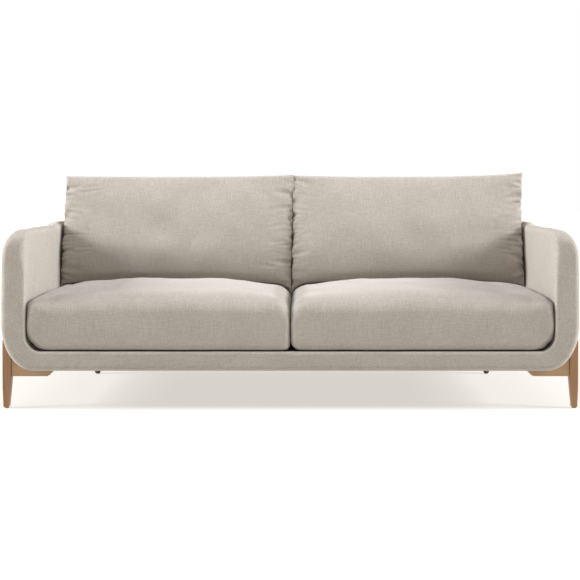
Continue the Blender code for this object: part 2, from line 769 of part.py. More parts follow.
def make_seat_cushion(label, side):
    middle = (SEAT_IN + SEAT_OUT) / 2
    x_low, x_high = side * middle - ZIP_HALF, side * middle + ZIP_HALF
    z = 0.315
    cushion_cover(f"seat_cover_{label}", cage((3, 3, 2), seat_point), (x_low, SEAT_BACK - 0.02, z - 0.004),
                  (x_high, SEAT_BACK + 0.02, z + 0.004), side)
    filling(f"seat_foam_{label}", cage((3, 3, 2), seat_point), FOAM, 0.008, side)
    box(f"seat_zip_{label}", (x_low + GAP, SEAT_BACK - 0.0042, z - 0.004 + GAP),
        (x_high - GAP, SEAT_BACK - 0.0012, z + 0.004 - GAP), ZIP)


BACK_IN, BACK_OUT = 0.003, INNER - 0.002
BACK_TALL, BACK_THICK = 0.472, 0.190
BACK_LEAN = math.radians(9)
BACK_FOOT = Vector((0.0, 0.238, 0.421))


def back_point(place):
    """The right-hand back cushion, upright: thick in the middle and thin along its seamed edges."""
    u, v, w = (spread(place.x, 0.6), spread(place.y, 0.9), spread(place.z, 0.6))
    edge = max(abs(2 * u - 1) ** 5, abs(2 * w - 1) ** 5)
    half = BACK_THICK / 2 * mix(1.0, 0.36, edge)
    belly = 0.012 * (1 - w)
    return Vector((mix(BACK_IN, BACK_OUT, u), mix(-half - belly, half, v), BACK_TALL * w))


def back_lean(point):
    """From the upright cushion to its place, leaning on the back."""
    y = point.y * math.cos(BACK_LEAN) + point.z * math.sin(BACK_LEAN)
    z = -point.y * math.sin(BACK_LEAN) + point.z * math.cos(BACK_LEAN)
    return Vector((point.x, y, z)) + BACK_FOOT


def back_cage():
    bm = cage((3, 2, 3), back_point)
    for vertex in bm.verts:
        vertex.co = back_lean(vertex.co)
        vertex.co.z = max(vertex.co.z, BACK_FOOT.z)
    return bm


def make_back_cushion(label, side):
    middle = side * (BACK_IN + BACK_OUT) / 2
    x_low, x_high = middle - ZIP_HALF, middle + ZIP_HALF
    floor = BACK_FOOT.z
    y_zip = BACK_FOOT.y
    cushion_cover(f"back_cushion_cover_{label}", back_cage(), (x_low, y_zip - 0.004, floor - 0.02),
                  (x_high, y_zip + 0.004, floor + 0.02), side)
    box(f"back_cushion_zip_{label}", (x_low + GAP, y_zip - 0.004 + GAP, floor + 0.004),
        (x_high - GAP, y_zip + 0.004 - GAP, floor + 0.007), ZIP)
    filling(f"back_filling_{label}", back_cage(), FILLING, 0.010, side)


def main():
    make_front_border()
    make_arm_cover("arm_cover_left", -1)
    make_arm_cover("arm_cover_right", 1)
    make_back_cover()
    make_deck_and_dust_cover()
    make_formers()
    front_rail, tail_rail = make_base_rails()
    make_arm_frames()
    make_back_frame()
    make_springs()
    make_legs(front_rail, tail_rail)
    for label, side in (("left", -1), ("right", 1)):
        make_seat_cushion(label, side)
        make_back_cushion(label, side)


main()
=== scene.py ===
"""Looks of a two-cushion sofa with wooden front legs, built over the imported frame. Metres, +Z up, facing -Y.

The shell (front border, arm covers, back cover) is lofted from the same section as the frame's, at full
detail. The back cushions are sewn pillows, inflated by a small cloth solver. The seat cushions are crowned
foam blocks. Legs and inner timber keep the frame's shapes and get their own materials.
"""

import json
import math

import bpy
import numpy as np
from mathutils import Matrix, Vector


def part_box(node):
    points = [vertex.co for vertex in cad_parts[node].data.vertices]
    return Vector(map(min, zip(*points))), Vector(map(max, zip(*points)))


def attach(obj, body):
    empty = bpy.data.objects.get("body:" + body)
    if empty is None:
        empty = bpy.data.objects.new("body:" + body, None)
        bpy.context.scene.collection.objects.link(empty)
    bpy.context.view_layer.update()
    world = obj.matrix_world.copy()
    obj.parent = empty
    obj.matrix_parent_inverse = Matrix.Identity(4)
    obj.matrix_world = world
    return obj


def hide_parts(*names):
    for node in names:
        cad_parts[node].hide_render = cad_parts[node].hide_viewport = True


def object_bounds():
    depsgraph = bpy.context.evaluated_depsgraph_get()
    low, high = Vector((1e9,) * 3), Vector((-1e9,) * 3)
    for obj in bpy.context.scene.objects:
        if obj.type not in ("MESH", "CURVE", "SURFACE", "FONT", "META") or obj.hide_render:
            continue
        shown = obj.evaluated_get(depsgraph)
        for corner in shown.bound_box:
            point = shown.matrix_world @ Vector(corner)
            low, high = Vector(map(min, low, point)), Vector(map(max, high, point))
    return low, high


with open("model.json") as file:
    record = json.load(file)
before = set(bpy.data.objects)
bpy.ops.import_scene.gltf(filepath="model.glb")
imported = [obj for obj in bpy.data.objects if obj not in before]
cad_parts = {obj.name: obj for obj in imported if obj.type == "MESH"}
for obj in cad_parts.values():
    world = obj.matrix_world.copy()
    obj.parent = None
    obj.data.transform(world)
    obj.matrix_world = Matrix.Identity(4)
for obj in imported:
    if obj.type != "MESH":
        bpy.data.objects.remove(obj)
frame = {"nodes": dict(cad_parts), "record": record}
CAD_LOW, CAD_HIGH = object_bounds()

# The shell, as in the frame: the outline's lower and upper rounds, the inner face and its corner at the deck.
HALF, FRONT, REAR = CAD_HIGH.x, CAD_LOW.y, CAD_HIGH.y
UNDERSIDE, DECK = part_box("front_border")[0].z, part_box("seat_deck")[1].z
ARM_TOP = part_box("front_border")[1].z
BACK_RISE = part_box("back_cover")[1].z - ARM_TOP
SPLIT_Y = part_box("back_cover")[0].y
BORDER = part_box("front_border")[1].y - FRONT
INNER = HALF - 0.095
LOWER_X, LOWER_Z, LOWER_REAR_Y, LOWER_REAR_Z = 0.125, 0.180, 0.030, 0.040
REAR_LOW_Y = REAR - 0.025
UPPER_X, UPPER_Z, UPPER_REAR_Y, UPPER_POWER = 0.068, 0.127, 0.065, 2.1
SIDE_TUCK, TOP_EDGE = 0.002, 0.025
BACK_FACE_TOP_Y, BACK_FACE_LOW_Y = REAR - UPPER_REAR_Y - TOP_EDGE, 0.335
INNER_CORNER, INNER_CORNER_REAR, DECK_LIP = 0.060, 0.030, 0.010
OUTER_PLAN, TOP_PLAN, INNER_PLAN = 0.100, 0.050, 0.040
SHOULDER_START, SHOULDER_END = 0.08, 0.235
ROLL = 0.062  # round of the arm's front top corner
BORDER_OUTER_ROUND = 0.024
BORDER_INNER_ROUND = 0.011
BORDER_INNER_SOFT = 0.015  # added to the inner round where the arm reaches its top
SOFT_START, SOFT_SPAN = 0.48, 0.14  # the heights over which it is added
STEP = 0.008  # grid spacing of the shell
ARC_POINTS = 40
BACK_ROWS, CORNER_ROWS, REAR_ROWS = 14, 22, 118  # rows of the back's side, of its corner and of half its rear
BORDER_COUNTS = (22, 34, 30)  # points of the border's edges: the upper round, the side, the lower round
BORDER_MIDDLE, BORDER_ACROSS = 121, 33
BORDER_SIDE_ROWS = (0.01, 0.06, 0.14, 0.26, 0.5)
BORDER_PADDING, BORDER_PADDING_WAVE = 0.0010, 0.16
SEAM_ROWS = (0.0015, 0.003, 0.005, 0.008, 0.012)  # extra rows beside a seam
SEAM_PUCKER_WAVE, SEAM_PUCKER = 0.030, 0.5  # how a seam's depth varies along it
ARM_PADDING = ((0.0013, 0.22), (0.0005, 0.07))  # height and wavelength of the padding's unevenness
BACK_PADDING = ((0.0016, 0.25), (0.0005, 0.08))
CORNER_FOLDS, CORNER_FOLD_WAVE = 0.0035, 0.030  # folds where the arm's foot meets the border
SHEET_CORNER = 0.05
SHEET_GRID = (61, 141)


# Helpers.


def smoothstep(t):
    t = np.clip(t, 0.0, 1.0)
    return t * t * (3 - 2 * t)


def mix(start, end, share):
    return start * (1 - share) + end * share


def soft_noise(points, wavelength, seed, waves=14):
    """Smooth bumps about one unit high, as a sum of sine waves in fixed pseudo-random directions."""
    rng = np.random.default_rng(seed)
    out = np.zeros(points.shape[:-1])
    for _ in range(waves):
        way = rng.normal(size=points.shape[-1])
        way *= 2 * math.pi / wavelength * rng.uniform(0.6, 1.5) / np.linalg.norm(way)
        out += np.sin(points @ way + rng.uniform(0, 2 * math.pi))
    return out / math.sqrt(waves / 2) / 1.5


def uneven(points, waves, seeds):
    """Soft noise of several (height, wavelength) pairs added up."""
    return sum(height * soft_noise(points, wave, seed) for (height, wave), seed in zip(waves, seeds))


def grid_normals(grid):
    across = np.gradient(grid, axis=1)
    along = np.gradient(grid, axis=0)
    normal = np.cross(along, across)
    return normal / np.maximum(np.linalg.norm(normal, axis=-1, keepdims=True), 1e-12)


def resample(points, spacing):
    """A polyline of any columns, its first ones being the place, at even spacing."""
    steps = np.linalg.norm(np.diff(points[:, :2], axis=0), axis=1)
    run = np.concatenate([[0], np.cumsum(steps)])
    even = np.linspace(0, run[-1], max(int(run[-1] / spacing), 2) + 1)
    return np.stack([np.interp(even, run, points[:, i]) for i in range(points.shape[1])], -1)


def mesh_object(name, points, faces, cloth):
    """A smooth mesh whose points know their place on the flat cloth, for the weave."""
    mesh = bpy.data.meshes.new(name)
    mesh.from_pydata(points.reshape(-1, 3).tolist(), [], faces)
    layer = mesh.attributes.new("cloth", "FLOAT_VECTOR", "POINT")
    flat = np.zeros((len(mesh.vertices), 3), np.float32)
    flat[:, :2] = cloth.reshape(-1, 2)
    layer.data.foreach_set("vector", flat.ravel())
    mesh.shade_smooth()
    made = bpy.data.objects.new(name, mesh)
    bpy.context.scene.collection.objects.link(made)
    return made


def grid_faces(index, flip=False):
    """Quads over a grid of vertex numbers."""
    quads = np.stack([index[:-1, :-1], index[:-1, 1:], index[1:, 1:], index[1:, :-1]], -1).reshape(-1, 4)
    return (quads[:, ::-1] if flip else quads).tolist()


def run_lengths(grid, axis):
    """Distance along a grid from its first row or column, at every point."""
    steps = np.linalg.norm(np.diff(grid, axis=axis), axis=-1).mean(axis=1 - axis)
    run = np.concatenate([[0], np.cumsum(steps)])
    return np.broadcast_to(run[:, None] if axis == 0 else run[None, :], grid.shape[:2])


def grid_object(name, grid, flip=False):
    rows, columns = grid.shape[:2]
    cloth = np.stack([run_lengths(grid, 0), run_lengths(grid, 1)], -1)
    return mesh_object(name, grid, grid_faces(np.arange(rows * columns).reshape(rows, columns), flip), cloth)


# Materials.

FINE_ACROSS, FINE_ALONG = 900.0, 34.0  # noise scales of the threads
SLUB_ACROSS, SLUB_ALONG = 330.0, 13.0
TONE_REACH = 0.115  # half the range of the threads' tone that runs from dark to light
CLOTH_ROUGHNESS, CLOTH_SHEEN = 0.92, 0.25
RING_STRETCH, PORE_FINENESS = 0.035, 9
FIGURE_SHARE = 0.68  # of the wood's tone, the rest being pores

def new_material(name):
    made = bpy.data.materials.new(name)
    made.use_nodes = True
    tree = made.node_tree
    return made, tree, tree.nodes["Principled BSDF"]


def add(tree, kind, **values):
    node = tree.nodes.new(kind)
    for key, value in values.items():
        if key in node.bl_rna.properties:
            setattr(node, key, value)
        else:
            node.inputs[key.replace("_", " ")].default_value = value
    return node


def link(tree, start, end):
    tree.links.new(start, end)


def scaled(tree, source, scale):
    node = add(tree, "ShaderNodeMapping")
    node.inputs["Scale"].default_value = scale
    link(tree, source, node.inputs["Vector"])
    return node.outputs["Vector"]


def noise(tree, vector, scale, detail=3.0, roughness=0.55):
    node = add(tree, "ShaderNodeTexNoise", Scale=scale, Detail=detail, Roughness=roughness)
    link(tree, vector, node.inputs["Vector"])
    return node.outputs["Fac"]


def maths(tree, operation, a, b=0.0):
    node = add(tree, "ShaderNodeMath", operation=operation)
    for socket, value in zip(node.inputs, (a, b)):
        if isinstance(value, (int, float)):
            socket.default_value = value
        else:
            link(tree, value, socket)
    return node.outputs[0]


def ramp(tree, source, stops):
    node = add(tree, "ShaderNodeValToRGB")
    ends = node.color_ramp.elements
    while len(ends) < len(stops):
        ends.new(0.5)
    for end, (place, colour) in zip(ends, stops):
        end.position, end.color = place, (*colour, 1.0)
    link(tree, source, node.inputs["Fac"])
    return node.outputs["Color"]


def bumped(tree, shader, height, strength, distance):
    node = add(tree, "ShaderNodeBump", Strength=strength, Distance=distance)
    link(tree, height, node.inputs["Height"])
    link(tree, node.outputs["Normal"], shader.inputs["Normal"])


def woven(name, light, dark, thread=0.0011, local="cloth"):
    """A plain weave of uneven melange threads, with slubs both ways and a soft cloudiness."""
    made, tree, shader = new_material(name)
    if local == "cloth":
        place = add(tree, "ShaderNodeAttribute", attribute_name="cloth").outputs["Vector"]
    else:
        place = add(tree, "ShaderNodeTexCoord").outputs["Object"]

    def threads(across, along, *grain):
        warp = noise(tree, scaled(tree, place, (across, along, along)), 1.0, *grain)
        weft = noise(tree, scaled(tree, place, (along, across, across)), 1.0, *grain)
        return maths(tree, "ADD", warp, weft)

    shares = ((threads(FINE_ACROSS, FINE_ALONG, 2.0), 0.15),
              (threads(SLUB_ACROSS, SLUB_ALONG, 3.0, 0.7), 0.17),
              (noise(tree, place, 420.0, 2.0, 0.8), 0.10),
              (noise(tree, place, 150.0, 3.0, 0.75), 0.20),
              (noise(tree, place, 5.0, 2.0, 0.5), 0.06))
    tone = 0.0
    for pattern, share in shares:
        tone = maths(tree, "ADD", maths(tree, "MULTIPLY", pattern, share), tone)
    colour = ramp(tree, tone, [(0.5 - TONE_REACH, dark), (0.5 + TONE_REACH, light)])
    link(tree, colour, shader.inputs["Base Color"])
    shader.inputs["Roughness"].default_value = CLOTH_ROUGHNESS
    shader.inputs["Specular IOR Level"].default_value = 0.2
    shader.inputs["Sheen Weight"].default_value = CLOTH_SHEEN
    shader.inputs["Sheen Roughness"].default_value = 0.55
    parts = add(tree, "ShaderNodeSeparateXYZ")
    link(tree, place, parts.inputs[0])
    turn = math.pi / thread
    rib_u = maths(tree, "SINE", maths(tree, "MULTIPLY", parts.outputs["X"], turn))
    rib_v = maths(tree, "SINE", maths(tree, "MULTIPLY", parts.outputs["Y"], turn))
    weave = maths(tree, "MULTIPLY", rib_u, rib_v)
    height = maths(tree, "ADD", maths(tree, "MULTIPLY", weave, 0.35), maths(tree, "MULTIPLY", tone, 1.6))
    bumped(tree, shader, height, 0.55, 0.0007)
    return made


def grained(name, light, dark, along, roughness, ring, coat=0.0):
    """Wood whose grain runs along x, y or z."""
    made, tree, shader = new_material(name)
    place = add(tree, "ShaderNodeTexCoord").outputs["Object"]
    narrow, long = ring, ring * RING_STRETCH
    scale = {"x": (long, narrow, narrow), "y": (narrow, long, narrow), "z": (narrow, narrow, long)}[along]
    figure = noise(tree, scaled(tree, place, scale), 1.0, 4.0, 0.6)
    pores = noise(tree, scaled(tree, place, tuple(s * PORE_FINENESS for s in scale)), 1.0, 3.0, 0.75)
    parts = [(figure, FIGURE_SHARE), (pores, 1 - FIGURE_SHARE)]
    tone = maths(tree, "ADD", *(maths(tree, "MULTIPLY", part, share) for part, share in parts))
    link(tree, ramp(tree, tone, [(0.33, dark), (0.52, light), (0.74, dark)]), shader.inputs["Base Color"])
    shader.inputs["Roughness"].default_value = roughness
    shader.inputs["Coat Weight"].default_value = coat
    bumped(tree, shader, pores, 0.15, 0.0004)
    return made


def speckled(name, light, dark, scale, roughness, metallic=0.0, bump=0.1):
    """Foam, fibre, steel or plastic: fine irregular grain."""
    made, tree, shader = new_material(name)
    place = add(tree, "ShaderNodeTexCoord").outputs["Object"]
    grain = noise(tree, place, scale, 4.0, 0.65)
    link(tree, ramp(tree, grain, [(0.3, dark), (0.7, light)]), shader.inputs["Base Color"])
    rough = add(tree, "ShaderNodeMapRange")
    link(tree, grain, rough.inputs["Value"])
    rough.inputs["To Min"].default_value = roughness * 0.85
    rough.inputs["To Max"].default_value = min(roughness * 1.1, 1.0)
    link(tree, rough.outputs["Result"], shader.inputs["Roughness"])
    shader.inputs["Metallic"].default_value = metallic
    bumped(tree, shader, grain, bump, 0.0005)
    return made


PINE = (0.76, 0.57, 0.33), (0.60, 0.38, 0.17)
FABRIC = woven("beige_weave", (0.503, 0.464, 0.415), (0.256, 0.223, 0.190))
LOOKS = {
    "beige_weave": FABRIC,
    "oak": grained("oak_upright", (0.335, 0.172, 0.073), (0.210, 0.100, 0.040), "z", 0.42, 60.0, 0.1),
    "birch_plywood": grained("birch_plywood", (0.72, 0.56, 0.37), (0.58, 0.42, 0.25), "x", 0.7, 40.0),
    "pine": grained("pine", *PINE, "x", 0.65, 45.0),
    "zinc_plated_steel": speckled("zinc_steel", (0.66, 0.67, 0.69), (0.50, 0.51, 0.54), 400.0, 0.38, 1.0),
    "webbing": woven("elastic_webbing", (0.16, 0.16, 0.17), (0.05, 0.05, 0.06), 0.0016, local="object"),
    "foam": speckled("foam", (0.88, 0.85, 0.72), (0.70, 0.66, 0.50), 900.0, 0.95, bump=0.6),
    "fibre_filling": speckled("fibre", (0.93, 0.93, 0.91), (0.74, 0.74, 0.72), 260.0, 1.0, bump=0.8),
    "black_lining": woven("black_lining", (0.035, 0.035, 0.037), (0.012, 0.012, 0.013), 0.0009),
    "black_stained_wood": grained("black_wood", (0.030, 0.027, 0.025), (0.010, 0.009, 0.008), "z", 0.5, 60.0),
    "glide_plastic": speckled(
        "glide_plastic", (0.26, 0.23, 0.21), (0.18, 0.16, 0.15), 500.0, 0.55, bump=0.15),
    "zip_tape": woven("zip_tape", (0.52, 0.46, 0.39), (0.32, 0.28, 0.23), 0.0008, local="object"),
}
OAK_LEVEL = grained("oak_level", (0.44, 0.272, 0.148), (0.310, 0.183, 0.094), "x", 0.42, 60.0, 0.1)
PINE_DEEP = grained("pine_deep", *PINE, "y", 0.65, 45.0)
PINE_TALL = grained("pine_tall", *PINE, "z", 0.65, 45.0)


def dress_frame():
    """Gives every CAD node that stays its procedural material."""
    slots = {part["node"]: part["material_slot"] for part in frame["record"]["subparts"]}
    for node, obj in frame["nodes"].items():
        look = LOOKS[slots[node]]
        if node.startswith("leg_bracket"):
            look = OAK_LEVEL
        elif node.startswith(("side_rail", "centre_stretcher", "tail_block")):
            look = PINE_DEEP
        elif node.startswith("back_post"):
            look = PINE_TALL
        for material_slot in obj.material_slots:
            material_slot.material = look


def dress(obj, look):
    obj.data.materials.append(look)
    return obj


# The shell.


def section():
    """The wall's section, from the underside over the top to the deck.

    Its columns are x and z at the side, y and z at the rear, the plan radius, and the share of BACK_RISE.
    """
    rows = []

    def put(*columns):
        rows.append(np.stack(np.broadcast_arrays(*columns), -1))

    turn = np.linspace(0, math.pi / 2, ARC_POINTS)
    share = np.linspace(0, 1, ARC_POINTS)[1:]
    s, c = np.sin(turn), np.cos(turn)
    put(HALF - LOWER_X * (1 - s), UNDERSIDE + LOWER_Z * (1 - c), REAR_LOW_Y - LOWER_REAR_Y * (1 - s),
        UNDERSIDE + LOWER_REAR_Z * (1 - c), OUTER_PLAN, 0.0)
    shoulder = ARM_TOP - UPPER_Z
    put(HALF - SIDE_TUCK * share**2, UNDERSIDE + LOWER_Z + (shoulder - UNDERSIDE - LOWER_Z) * share,
        REAR_LOW_Y + (REAR - REAR_LOW_Y) * share,
        UNDERSIDE + LOWER_REAR_Z + (shoulder - UNDERSIDE - LOWER_REAR_Z) * share, OUTER_PLAN, 0.0)
    s, c = s[1:], c[1:]
    across, up = np.maximum(c, 0) ** (2 / UPPER_POWER), s ** (2 / UPPER_POWER)
    height = ARM_TOP - UPPER_Z * (1 - up)
    put(HALF - SIDE_TUCK - UPPER_X * (1 - across), height, REAR - UPPER_REAR_Y * (1 - across), height,
        mix(OUTER_PLAN, TOP_PLAN, 1 - across), up)
    height = ARM_TOP - TOP_EDGE * (1 - c)
    put(INNER + TOP_EDGE * (1 - s), height, BACK_FACE_TOP_Y + TOP_EDGE * (1 - s), height,
        mix(TOP_PLAN, INNER_PLAN, turn[1:] / (math.pi / 2)), 1.0)
    put(np.full_like(share, INNER), ARM_TOP - TOP_EDGE + (DECK + INNER_CORNER - ARM_TOP + TOP_EDGE) * share,
        BACK_FACE_TOP_Y + (BACK_FACE_LOW_Y - BACK_FACE_TOP_Y) * share,
        ARM_TOP - TOP_EDGE + (DECK + INNER_CORNER_REAR - ARM_TOP + TOP_EDGE) * share, INNER_PLAN, 1.0 - share)
    put(INNER - INNER_CORNER * (1 - c), DECK + INNER_CORNER * (1 - s),
        BACK_FACE_LOW_Y - INNER_CORNER_REAR * (1 - c), DECK + INNER_CORNER_REAR * (1 - s), INNER_PLAN, 0.0)
    last = rows[-1][-1].copy()
    last[0] -= DECK_LIP
    last[2] -= DECK_LIP
    rows.append(last[None])
    return resample(np.concatenate(rows), STEP)


SECTION = section()


def arm_grid(ys):
    """Rows of the right arm's wall at each y."""
    x, z, _, _, _, rise = SECTION.T
    shoulder = smoothstep((ys - SHOULDER_START) / (SHOULDER_END - SHOULDER_START))
    grid = np.empty((len(ys), len(x), 3))
    grid[..., 0], grid[..., 1] = x, ys[:, None]
    grid[..., 2] = z + BACK_RISE * rise * shoulder[:, None]
    return grid


def back_grid():
    """Rows from the right arm's end, round both corners of the back, to the left arm's end."""
    x, z_side, y, z_rear, radius, rise = SECTION.T
    centre_x, centre_y = x - radius, y - radius
    lift = BACK_RISE * rise
    rows = []
    for share in np.linspace(0, 1, BACK_ROWS)[:-1]:
        rows.append(np.stack([x, mix(SPLIT_Y, centre_y, share), z_side + lift], -1))
    for turn in np.linspace(0, math.pi / 2, CORNER_ROWS):
        round_x, round_y = centre_x + radius * math.cos(turn), centre_y + radius * math.sin(turn)
        height = mix(z_side, z_rear, smoothstep(turn / (math.pi / 2))) + lift
        rows.append(np.stack([round_x, round_y, height], -1))
    for share in np.linspace(0, 1, REAR_ROWS)[1:]:
        rows.append(np.stack([centre_x * (1 - share), y, z_rear + lift], -1))
    right = np.array(rows)
    left = right[-2::-1] * (-1, 1, 1)
    return np.concatenate([right, left])


def roll_front(points):
    """Rounds the arm's front top corner: a square corner of the side view becomes a quarter circle."""
    out = points.copy()
    u = np.clip((FRONT + ROLL - points[..., 1]) / ROLL, 0, 1.05)
    v = np.clip((points[..., 2] - (ARM_TOP - ROLL)) / ROLL, 0, 1.05)
    inside = (u > 0) & (v > 0)
    out[..., 1] = np.where(inside, FRONT + ROLL - ROLL * u * np.sqrt(1 - v * v / 2), points[..., 1])
    out[..., 2] = np.where(inside, ARM_TOP - ROLL + ROLL * v * np.sqrt(1 - u * u / 2), points[..., 2])
    return out


def seam(distance, depth=0.005, width=0.006):
    """How far a seam pulls the cloth in at a distance from it."""
    return depth * np.exp(-((distance / width) ** 2))


def uneven_seam(distance, along, seed):
    return seam(distance) * (1 + SEAM_PUCKER * soft_noise(along[..., None], SEAM_PUCKER_WAVE, seed))


def padded_surface(grid, seams, seed):
    """Pulls the cloth in at its seams, with small puckers beside them, and makes the padding uneven."""
    normal = grid_normals(grid)
    normal *= np.sign((normal[..., 0] * grid[..., 0]).mean() or 1)
    relief = uneven(grid, ARM_PADDING, (seed, seed + 1))
    for distance, along in seams:
        relief = relief - uneven_seam(distance, along, seed + 5)
        relief = relief + 0.0009 * soft_noise(along[..., None], 0.026, seed + 6) * np.exp(-distance / 0.020)
    return grid + normal * relief[..., None]


def make_arm(label, side):
    ys = np.linspace(FRONT + BORDER, SPLIT_Y, int((SPLIT_Y - FRONT - BORDER) / STEP) + 1)
    near = np.array(SEAM_ROWS)
    ys = np.unique(np.concatenate([ys, ys[0] + near, ys[-1] - near]))
    grid = arm_grid(ys)
    run = run_lengths(grid, 1)
    front = np.broadcast_to((ys - ys[0])[:, None], grid.shape[:2])
    rear = np.broadcast_to((ys[-1] - ys)[:, None], grid.shape[:2])
    from_corner_x, from_corner_z = grid[..., 0] - (INNER - 0.03), grid[..., 2] - (DECK + 0.03)
    corner = np.exp(-((from_corner_x / 0.06) ** 2) - (from_corner_z / 0.07) ** 2)
    grid = padded_surface(grid, [(front, run), (rear, run)], 11 + side)
    folds = soft_noise(np.stack([run, front * 0.35], -1), CORNER_FOLD_WAVE, 31 + side)
    grid[..., 2] += CORNER_FOLDS * corner * folds * np.exp(-front / 0.05)
    grid = roll_front(grid)
    grid[..., 0] *= side
    name = f"arm_cover_{label}_upholstery"
    arm = dress(grid_object(name, grid, flip=side < 0), FABRIC)
    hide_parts(f"arm_cover_{label}")
    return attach(arm, "base")


def make_back():
    grid = back_grid()
    along, run = run_lengths(grid, 0), run_lengths(grid, 1)
    normal = grid_normals(grid)
    outside = np.sign(normal[len(grid) // 2, 10, 1])  # read on the rear face, a little above the underside
    relief = uneven(grid, BACK_PADDING, (3, 4))
    for distance in (along, along.max() - along):
        relief = relief - uneven_seam(distance, run, 7)
    grid = grid + outside * normal * relief[..., None]
    back = dress(grid_object("back_cover_upholstery", grid), FABRIC)
    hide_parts("back_cover")
    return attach(back, "base")


def border_lines():
    """Outer and inner edges of the U's right half, point for point, from the arm's top to the middle."""
    x, z = SECTION[:, 0], SECTION[:, 1]
    apex = int(np.argmax(z))
    outer = np.stack([x, z], -1)[: apex + 1][::-1]
    inner = np.stack([x, z], -1)[apex:]

    def splits(line, *heights):
        return [0, *(np.argmin(abs(line[:, 1] - height)) for height in heights), len(line) - 1]

    splits_outer = splits(outer, ARM_TOP - UPPER_Z, UNDERSIDE + LOWER_Z)
    splits_inner = splits(inner, ARM_TOP - TOP_EDGE, DECK + INNER_CORNER)

    def part(line, a, b, count):
        piece = line[a : b + 1]
        run = np.concatenate([[0], np.cumsum(np.linalg.norm(np.diff(piece, axis=0), axis=1))])
        even = np.linspace(0, run[-1], count + 1)
        return np.stack([np.interp(even, run, piece[:, i]) for i in range(2)], -1)[:-1]

    sides = []
    for line, ends in ((outer, splits_outer), (inner, splits_inner)):
        pieces = [part(line, a, b, n) for a, b, n in zip(ends, ends[1:], BORDER_COUNTS)]
        end = line[-1]
        flat = np.stack([np.linspace(end[0], 0, BORDER_MIDDLE), np.full(BORDER_MIDDLE, end[1])], -1)
        sides.append(np.concatenate([*pieces, flat]))
    return sides


def line_normals(line):
    way = np.gradient(line, axis=0)
    way /= np.maximum(np.linalg.norm(way, axis=1, keepdims=True), 1e-9)
    return np.stack([way[:, 1], -way[:, 0]], -1)


def outer_round(z):
    return np.full_like(z, BORDER_OUTER_ROUND)


def inner_round(z):
    return BORDER_INNER_ROUND + BORDER_INNER_SOFT * smoothstep((z - SOFT_START) / SOFT_SPAN)


def make_border():
    """The U-shaped front band: a flat face, rounded at both edges, with a short wall behind each."""
    outer, inner = border_lines()
    left = [line[-2::-1] * (-1, 1) for line in (outer, inner)]
    outer, inner = np.concatenate([outer, left[0]]), np.concatenate([inner, left[1]])
    across = (1 - np.cos(math.pi * np.linspace(0, 1, BORDER_ACROSS))) / 2
    flat = mix(outer[:, None], inner[:, None], across[None, :, None])
    depth = np.zeros(flat.shape[:2])
    for line, round_at in ((outer, outer_round), (inner, inner_round)):
        distance = np.full(flat.shape[:2], 1.0)
        for a, b in zip(line[:-1], line[1:]):
            way = b - a
            share = np.clip(((flat - a) @ way) / max(way @ way, 1e-12), 0, 1)
            distance = np.minimum(distance, np.linalg.norm(flat - a - share[..., None] * way, axis=-1))
        rounding = round_at(flat[..., 1])
        inset = np.clip(1 - distance / rounding, 0, 1)
        depth = np.maximum(depth, rounding * (1 - np.sqrt(1 - inset**2)))
    face = np.stack([flat[..., 0], FRONT + depth, flat[..., 1]], -1)
    padding = BORDER_PADDING * (1 + soft_noise(face[..., ::2], BORDER_PADDING_WAVE, 21))
    face[..., 1] += padding * np.exp(-depth / 0.004)
    columns = []
    for line, towards, round_at in ((outer, 1, outer_round), (inner, -1, inner_round)):
        normal = line_normals(line) * towards
        block = []
        for share in BORDER_SIDE_ROWS:
            back = BORDER - share * (BORDER - round_at(line[:, 1]))
            pull = seam(BORDER - back, 0.006, 0.0035)[:, None]
            moved = line + normal * pull
            block.append(np.stack([moved[:, 0], FRONT + back, moved[:, 1]], -1))
        columns.append(block)
    grid = np.concatenate([np.stack(columns[0], 1), face, np.stack(columns[1][::-1], 1)], 1)
    grid = roll_front(grid)
    border = dress(grid_object("front_border_upholstery", grid), FABRIC)
    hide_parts("front_border")
    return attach(border, "base")


def make_sheet(name, node, look, sag, seed):
    """The deck or dust cover: stretched cloth with a slight sag and soft ripples."""
    low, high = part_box(node)
    ys, xs = (np.linspace(a, b, n) for a, b, n in zip((low.y, low.x), (high.y, high.x), SHEET_GRID))
    grid = np.empty((len(ys), len(xs), 3))
    grid[..., 0], grid[..., 1] = xs[None, :], ys[:, None]
    u = (grid[..., 0] - low.x) / (high.x - low.x)
    v = (grid[..., 1] - low.y) / (high.y - low.y)
    hold = np.clip(16 * u * (1 - u) * v * (1 - v), 0, 1) ** 0.5
    past_x, past_y = abs(grid[..., 0]) - high.x + SHEET_CORNER, grid[..., 1] - high.y + SHEET_CORNER
    push = np.hypot(np.maximum(past_x, 0), np.maximum(past_y, 0))
    shrink = np.where(push > SHEET_CORNER, SHEET_CORNER / np.maximum(push, 1e-9), 1.0)
    outside = (past_x > 0) & (past_y > 0)
    for axis, centre in ((0, np.sign(grid[..., 0]) * (high.x - SHEET_CORNER)), (1, high.y - SHEET_CORNER)):
        grid[..., axis] = np.where(outside, centre + (grid[..., axis] - centre) * shrink, grid[..., axis])
    middle = high.z if sag > 0 else low.z
    ripples = 0.8 + 0.2 * soft_noise(grid[..., :2], 0.3, seed)
    grid[..., 2] = middle - abs(sag) * hold * ripples * np.sign(sag)
    made = dress(grid_object(name, grid), look)
    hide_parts(node)
    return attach(made, "base")


# Seat cushions.

